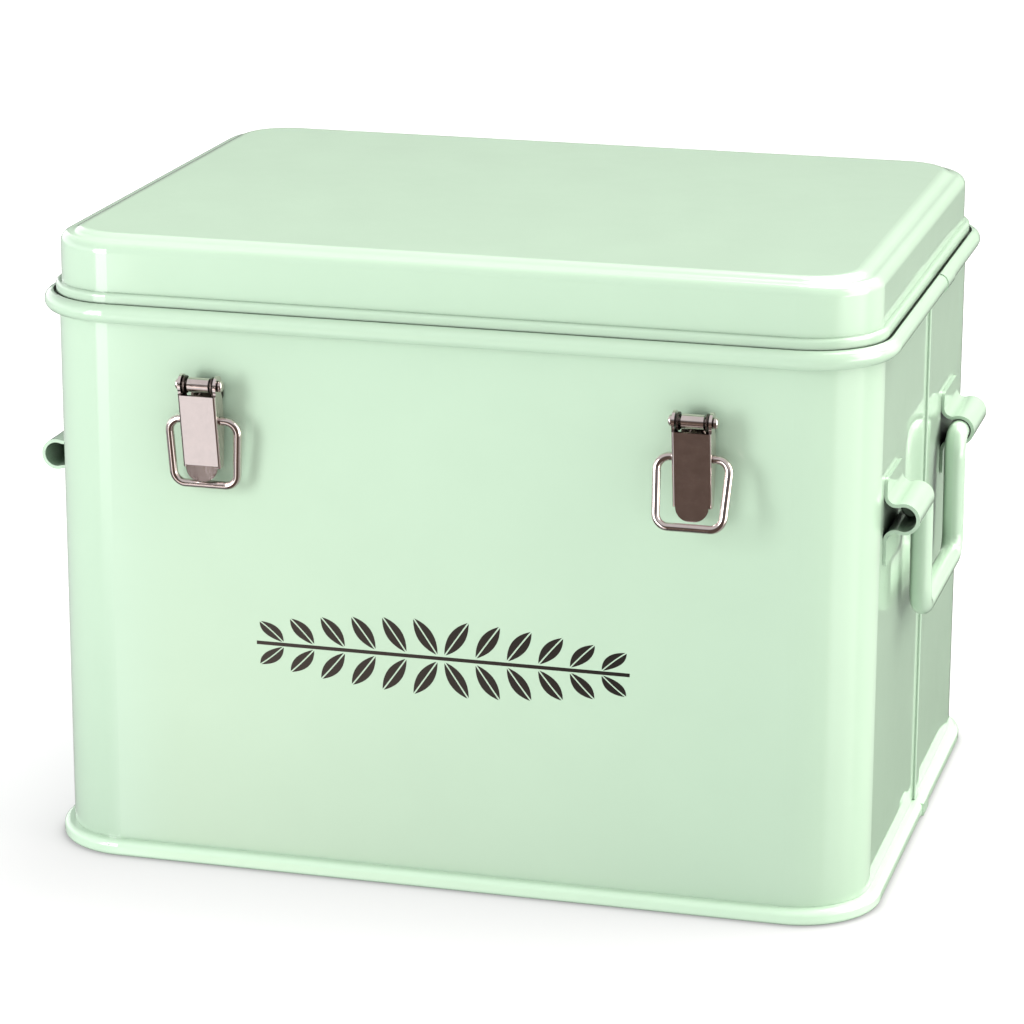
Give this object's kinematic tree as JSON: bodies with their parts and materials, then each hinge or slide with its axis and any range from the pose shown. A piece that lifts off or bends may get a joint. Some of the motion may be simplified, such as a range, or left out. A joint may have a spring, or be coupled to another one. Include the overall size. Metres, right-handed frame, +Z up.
{
  "type": "seed storage box",
  "caption": "Lidded enamelled sheet-steel storage box with front toggle latches, drop handles on both ends and a divided inside with tabbed index cards.",
  "frame": {"origin": "centre of the bounding box's footprint, on the surface the box stands on", "axes": "+X to the right seen from the front, -Y out of the front with the latches, +Z up"},
  "size_m": [0.2604, 0.199, 0.1845],
  "materials": {
    "enamel": "gloss enamel",
    "latch_nickel": "bright nickel plate",
    "card_stock": "matt"
  },
  "bodies": {
    "box": {"body_shell": "enamel", "base_panel": "enamel", "divider_panel": "enamel", "handle_left_strap_front": "enamel", "handle_left_strap_rear": "enamel", "latch_left_base_plate": "latch_nickel", "latch_left_rivets": "latch_nickel", "latch_left_hinge_pin": "latch_nickel", "latch_left_spacer_sleeve": "latch_nickel", "handle_right_strap_front": "enamel", "handle_right_strap_rear": "enamel", "latch_right_base_plate": "latch_nickel", "latch_right_rivets": "latch_nickel", "latch_right_hinge_pin": "latch_nickel", "latch_right_spacer_sleeve": "latch_nickel"},
    "lid": {"lid_shell": "enamel"},
    "handle_left": {"handle_left_bail": "enamel"},
    "latch_left_lever": {"latch_left_lever": "latch_nickel"},
    "latch_left_bail": {"latch_left_wire_bail": "latch_nickel"},
    "handle_right": {"handle_right_bail": "enamel"},
    "latch_right_lever": {"latch_right_lever": "latch_nickel"},
    "latch_right_bail": {"latch_right_wire_bail": "latch_nickel"},
    "card_left_1": {"index_card_left_1": "card_stock"},
    "card_left_2": {"index_card_left_2": "card_stock"},
    "card_left_3": {"index_card_left_3": "card_stock"},
    "card_left_4": {"index_card_left_4": "card_stock"},
    "card_right_1": {"index_card_right_1": "card_stock"},
    "card_right_2": {"index_card_right_2": "card_stock"},
    "card_right_3": {"index_card_right_3": "card_stock"},
    "card_right_4": {"index_card_right_4": "card_stock"}
  },
  "joints": [
    {"name": "lid_lift", "type": "slide", "parent": "box", "child": "lid", "axis": [0, 0, 1], "range_m": [0, 0.12]},
    {"name": "handle_left_swing", "type": "hinge", "parent": "box", "child": "handle_left", "pos_m": [-0.1257, -0.00009, 0.113], "axis": [0, 1, 0], "range_deg": [-2.5, 176]},
    {"name": "latch_left_lever_swing", "type": "hinge", "parent": "box", "child": "latch_left_lever", "pos_m": [-0.0692, -0.09369, 0.1458], "axis": [-1, 0, 0], "range_deg": [0, 130]},
    {"name": "latch_left_bail_swing", "type": "hinge", "parent": "latch_left_lever", "child": "latch_left_bail", "pos_m": [-0.0687, -0.09269, 0.13552], "axis": [-1, 0, 0], "range_deg": [0, 75]},
    {"name": "handle_right_swing", "type": "hinge", "parent": "box", "child": "handle_right", "pos_m": [0.1257, -0.00009, 0.113], "axis": [0, -1, 0], "range_deg": [-2.5, 176]},
    {"name": "latch_right_lever_swing", "type": "hinge", "parent": "box", "child": "latch_right_lever", "pos_m": [0.0726, -0.09369, 0.1455], "axis": [-1, 0, 0], "range_deg": [-2.5, 127.5]},
    {"name": "latch_right_bail_swing", "type": "hinge", "parent": "latch_right_lever", "child": "latch_right_bail", "pos_m": [0.0727, -0.09314, 0.13518], "axis": [-1, 0, 0], "range_deg": [-20, 55]},
    {"name": "card_left_1_lean", "type": "hinge", "parent": "box", "child": "card_left_1", "pos_m": [-0.0602, -0.04989, 0.0043], "axis": [1, 0, 0], "range_deg": [-6, 6]},
    {"name": "card_left_2_lean", "type": "hinge", "parent": "box", "child": "card_left_2", "pos_m": [-0.0602, -0.01389, 0.0043], "axis": [1, 0, 0], "range_deg": [-6, 6]},
    {"name": "card_left_3_lean", "type": "hinge", "parent": "box", "child": "card_left_3", "pos_m": [-0.0602, 0.02211, 0.0043], "axis": [1, 0, 0], "range_deg": [-6, 6]},
    {"name": "card_left_4_lean", "type": "hinge", "parent": "box", "child": "card_left_4", "pos_m": [-0.0602, 0.05811, 0.0043], "axis": [1, 0, 0], "range_deg": [-6, 6]},
    {"name": "card_right_1_lean", "type": "hinge", "parent": "box", "child": "card_right_1", "pos_m": [0.0602, -0.04989, 0.0043], "axis": [1, 0, 0], "range_deg": [-6, 6]},
    {"name": "card_right_2_lean", "type": "hinge", "parent": "box", "child": "card_right_2", "pos_m": [0.0602, -0.01389, 0.0043], "axis": [1, 0, 0], "range_deg": [-6, 6]},
    {"name": "card_right_3_lean", "type": "hinge", "parent": "box", "child": "card_right_3", "pos_m": [0.0602, 0.02211, 0.0043], "axis": [1, 0, 0], "range_deg": [-6, 6]},
    {"name": "card_right_4_lean", "type": "hinge", "parent": "box", "child": "card_right_4", "pos_m": [0.0602, 0.05811, 0.0043], "axis": [1, 0, 0], "range_deg": [-6, 6]}
  ]
}
